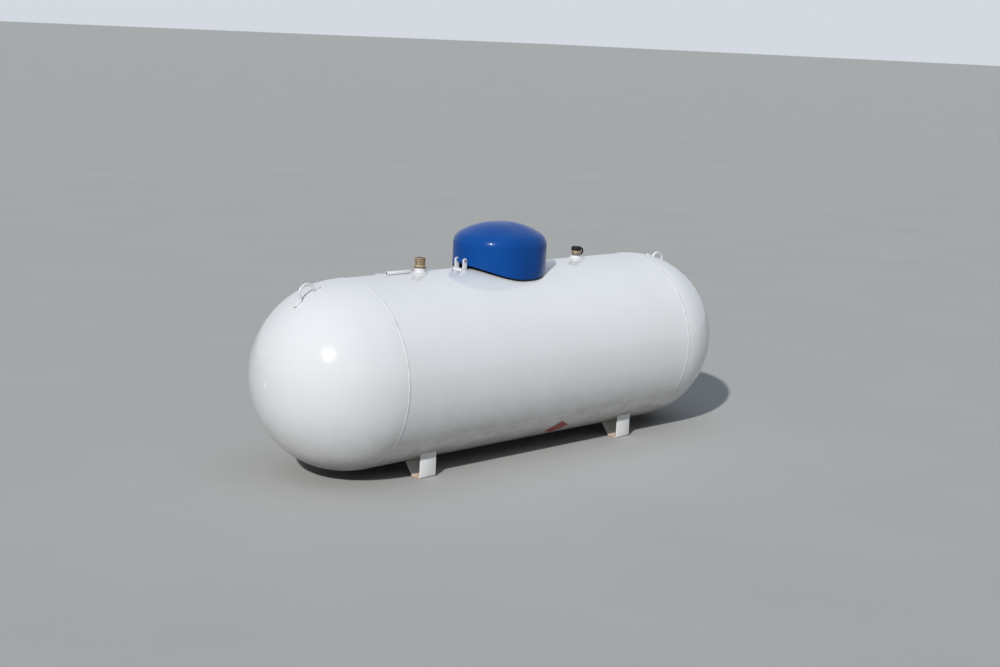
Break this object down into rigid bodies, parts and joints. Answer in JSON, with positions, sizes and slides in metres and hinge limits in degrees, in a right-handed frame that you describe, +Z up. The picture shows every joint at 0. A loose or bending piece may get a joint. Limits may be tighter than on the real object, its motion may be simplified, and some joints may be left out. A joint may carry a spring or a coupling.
{
  "type": "horizontal pressure tank",
  "caption": "Horizontal welded pressure tank with round ends on bent strip legs, lifting lugs and valves on top, and a hinged dome lid over its gauge and fittings.",
  "frame": {"origin": "on the ground under the middle of the tank", "axes": "+X along the tank, towards the relief valve's end; +Z up; -Y the near side in the picture"},
  "size_m": [3.0174, 0.957, 1.2221],
  "materials": {
    "tank_paint": "gloss white enamel, weathered",
    "leg_paint": "gloss white enamel, rusted on the feet",
    "lid_paint": "gloss blue enamel",
    "plate_steel": "bare dull plate",
    "pin_steel": "dull zinc",
    "valve_brass": "tarnished",
    "black_rubber": "dull",
    "black_plastic": "moulded",
    "dial_plastic": "moulded, with a plain face",
    "handwheel_paint": "grey enamel, worn"
  },
  "bodies": {
    "tank": {"shell": "tank_paint", "left_head": "tank_paint", "right_head": "tank_paint", "left_girth_weld": "tank_paint", "right_girth_weld": "tank_paint", "long_seam_weld": "tank_paint", "front_left_leg": "leg_paint", "front_right_leg": "leg_paint", "rear_left_leg": "leg_paint", "rear_right_leg": "leg_paint", "left_lifting_lug": "tank_paint", "right_lifting_lug": "tank_paint", "data_plate_bracket": "tank_paint", "data_plate": "plate_steel", "liquid_valve_coupling": "tank_paint", "liquid_valve_body": "valve_brass", "liquid_valve_cap": "valve_brass", "relief_valve_coupling": "tank_paint", "relief_valve_body": "valve_brass", "relief_valve_cap": "black_rubber", "relief_cap_strap": "black_rubber", "hinge_bracket": "tank_paint", "hinge_pin": "pin_steel", "hasp_staple": "tank_paint", "float_gauge_coupling": "tank_paint", "float_gauge_head": "valve_brass", "float_gauge_dial": "dial_plastic", "fill_valve_coupling": "tank_paint", "fill_valve_body": "valve_brass", "fill_valve_cap": "valve_brass", "service_valve_coupling": "tank_paint", "service_valve_body": "valve_brass", "service_valve_handwheel": "handwheel_paint", "service_valve_plug": "valve_brass", "vapor_valve_coupling": "tank_paint", "vapor_valve_body": "valve_brass", "vapor_valve_cap": "black_plastic"},
    "lid": {"dome_lid": "lid_paint", "dome_hinge_knuckle": "lid_paint", "dome_hasp": "lid_paint"}
  },
  "joints": [
    {"name": "dome_hinge", "type": "hinge", "parent": "tank", "child": "lid", "pos_m": [-0.2974, 0, 1.033], "axis": [0, -1, 0], "range_deg": [0, 100]}
  ]
}
